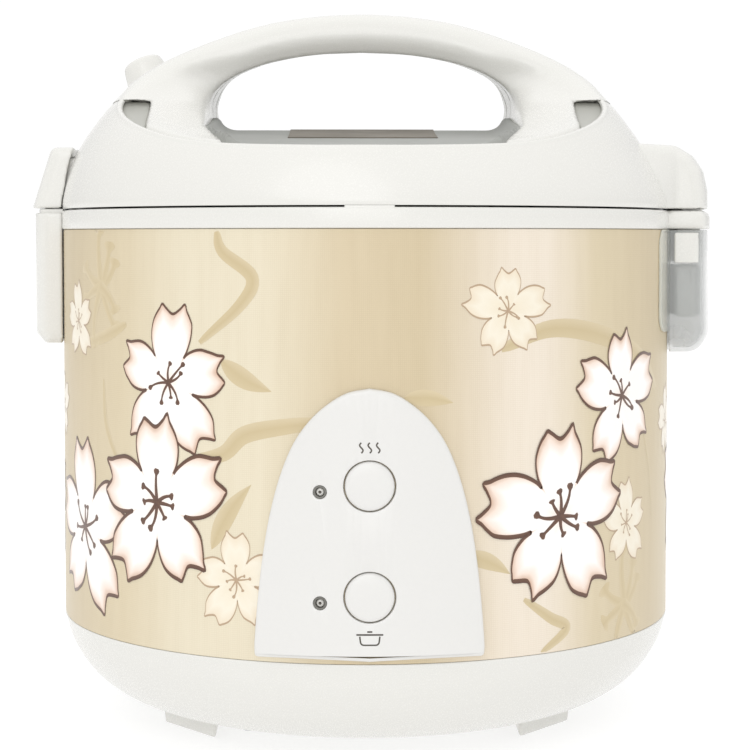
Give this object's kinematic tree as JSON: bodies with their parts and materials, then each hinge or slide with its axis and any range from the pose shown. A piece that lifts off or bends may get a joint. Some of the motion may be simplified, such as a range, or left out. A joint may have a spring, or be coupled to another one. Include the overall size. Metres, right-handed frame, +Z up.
{
  "type": "rice cooker",
  "caption": "Round jar-style electric rice cooker with a side-hinged domed lid, arched carry handle, latch lever, steam vent, condensation cup and press switches.",
  "frame": {"origin": "centre of the footprint on the surface it stands on, on the pot's axis", "axes": "+Z up along the pot axis, -Y towards the control panel, +X towards the lid hinge"},
  "size_m": [0.2876, 0.2627, 0.295],
  "materials": {
    "white_plastic": "glossy warm white moulded plastic",
    "printed_shell": "beige printed and lacquered steel sheet with a woven look and blossoms",
    "steel": "plain steel",
    "aluminium": "satin",
    "coated_pot": "grey non-stick coating inside, satin outside",
    "dark_plastic": "matte black",
    "rubber_pad": "matte grey",
    "silicone_seal": "matte light silicone",
    "brass": "bright contact metal",
    "clear_cup": "frosted clear plastic",
    "lamp_lens": "clear lens over an amber lamp",
    "board": "green circuit board",
    "label": "brownish blank label",
    "black_wire": "black insulation",
    "red_wire": "red insulation"
  },
  "bodies": {
    "body": {"base": "white_plastic", "control_panel": "white_plastic", "body_ring": "white_plastic", "latch_catch": "white_plastic", "outer_shell": "printed_shell", "base_screw_1": "steel", "base_screw_2": "steel", "base_screw_3": "steel", "hinge_pin": "steel", "hinge_spring": "steel", "heater_element": "steel", "sensor_housing": "steel", "sensor_spring": "steel", "switch_frame": "steel", "rocker_pin": "steel", "trip_bracket": "steel", "trip_pin": "steel", "inner_case": "aluminium", "heating_plate": "aluminium", "warmer_band": "aluminium", "inner_pot": "coated_pot", "inlet_socket": "dark_plastic", "terminal_block": "dark_plastic", "micro_switch": "dark_plastic", "foot_pad_front_left": "rubber_pad", "foot_pad_front_right": "rubber_pad", "foot_pad_back_left": "rubber_pad", "foot_pad_back_right": "rubber_pad", "inlet_pin_left": "brass", "inlet_pin_right": "brass", "thermal_fuse": "brass", "led_lens_warm": "lamp_lens", "led_lens_cook": "lamp_lens", "led_board": "board", "wire_supply": "black_wire", "wire_heater": "red_wire"},
    "lid": {"lid_outer": "white_plastic", "inner_lid_frame": "white_plastic", "lid_gasket": "silicone_seal", "inner_lid_plate": "aluminium", "inner_lid_knob": "white_plastic", "handle": "white_plastic", "handle_underside": "white_plastic", "lid_label": "label", "steam_vent_tube": "white_plastic", "hinge_cover": "white_plastic", "lever_pin": "steel", "lever_spring": "steel"},
    "release_lever": {"release_lever": "white_plastic"},
    "steam_vent_cap": {"steam_vent_cap": "white_plastic"},
    "cook_button": {"cook_button": "white_plastic"},
    "warm_button": {"warm_button": "white_plastic"},
    "rocker": {"rocker": "white_plastic"},
    "trip_lever": {"trip_lever": "steel"},
    "sensor": {"sensor_cap": "aluminium", "sensor_magnet": "dark_plastic"},
    "dew_collector": {"dew_collector": "clear_cup"}
  },
  "joints": [
    {"name": "lid_hinge", "type": "hinge", "parent": "body", "child": "lid", "pos_m": [0.143, 0, 0.2096], "axis": [0, 1, 0], "range_deg": [0, 85]},
    {"name": "latch_lever", "type": "hinge", "parent": "lid", "child": "release_lever", "pos_m": [-0.1316, 0, 0.222], "axis": [0, 1, 0], "range_deg": [0, 6], "stiffness_Nm_per_rad": 0.4, "springref_deg": -4.58},
    {"name": "vent_cap_lift", "type": "slide", "parent": "lid", "child": "steam_vent_cap", "axis": [-0.3995, 0.1798, 0.8989], "range_m": [0, 0.03]},
    {"name": "cook_press", "type": "slide", "parent": "body", "child": "cook_button", "axis": [0, 1, 0], "range_m": [0, 0.003], "stiffness_N_per_m": 250, "springref_m": -0.002},
    {"name": "warm_press", "type": "slide", "parent": "body", "child": "warm_button", "axis": [0, 1, 0], "range_m": [-0.003, 0]},
    {"name": "rocker_tilt", "type": "hinge", "parent": "body", "child": "rocker", "pos_m": [0, -0.1185, 0.0902], "axis": [1, 0, 0], "range_deg": [0, 8.6]},
    {"name": "trip_tilt", "type": "hinge", "parent": "body", "child": "trip_lever", "pos_m": [0, -0.06, 0.038], "axis": [1, 0, 0], "range_deg": [0, 3]},
    {"name": "sensor_plunge", "type": "slide", "parent": "body", "child": "sensor", "axis": [0, 0, 1], "range_m": [-0.003, 0], "stiffness_N_per_m": 300, "springref_m": 0.004, "deforming": ["sensor_spring"]},
    {"name": "dew_cup_pull", "type": "slide", "parent": "body", "child": "dew_collector", "axis": [1, 0, 0], "range_m": [0, 0.06]}
  ],
  "couplings": [
    {"joint": "warm_press", "follows": "cook_press", "ratio": -1},
    {"joint": "rocker_tilt", "follows": "cook_press", "rad_per_m": 49},
    {"joint": "trip_tilt", "follows": "cook_press", "rad_per_m": 16.667}
  ]
}
